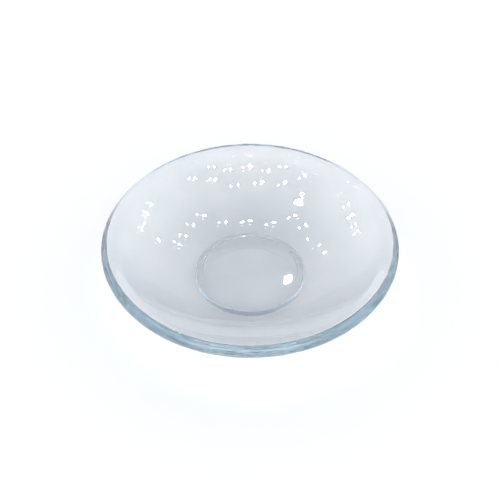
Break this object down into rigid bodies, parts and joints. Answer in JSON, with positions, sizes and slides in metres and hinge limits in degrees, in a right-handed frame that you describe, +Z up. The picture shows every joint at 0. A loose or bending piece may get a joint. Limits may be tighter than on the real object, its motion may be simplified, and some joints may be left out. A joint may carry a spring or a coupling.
{
  "type": "footed watch glass",
  "caption": "Shallow round clear-glass laboratory dish with a spherical bowl, a rounded thick rim, a flat floor and a solid foot.",
  "frame": {"origin": "centre of the foot's flat resting face", "axes": "+Z up along the axis of revolution, from the foot to the open mouth; X and Y are any two level directions, because the dish is round"},
  "size_m": [0.1, 0.1, 0.0208],
  "materials": {
    "clear_glass": "clear, fire-polished, pale blue-green where the glass is thick"
  },
  "bodies": {
    "root": {"rim": "clear_glass", "bowl_wall": "clear_glass", "floor_disc": "clear_glass", "foot": "clear_glass"}
  },
  "joints": []
}
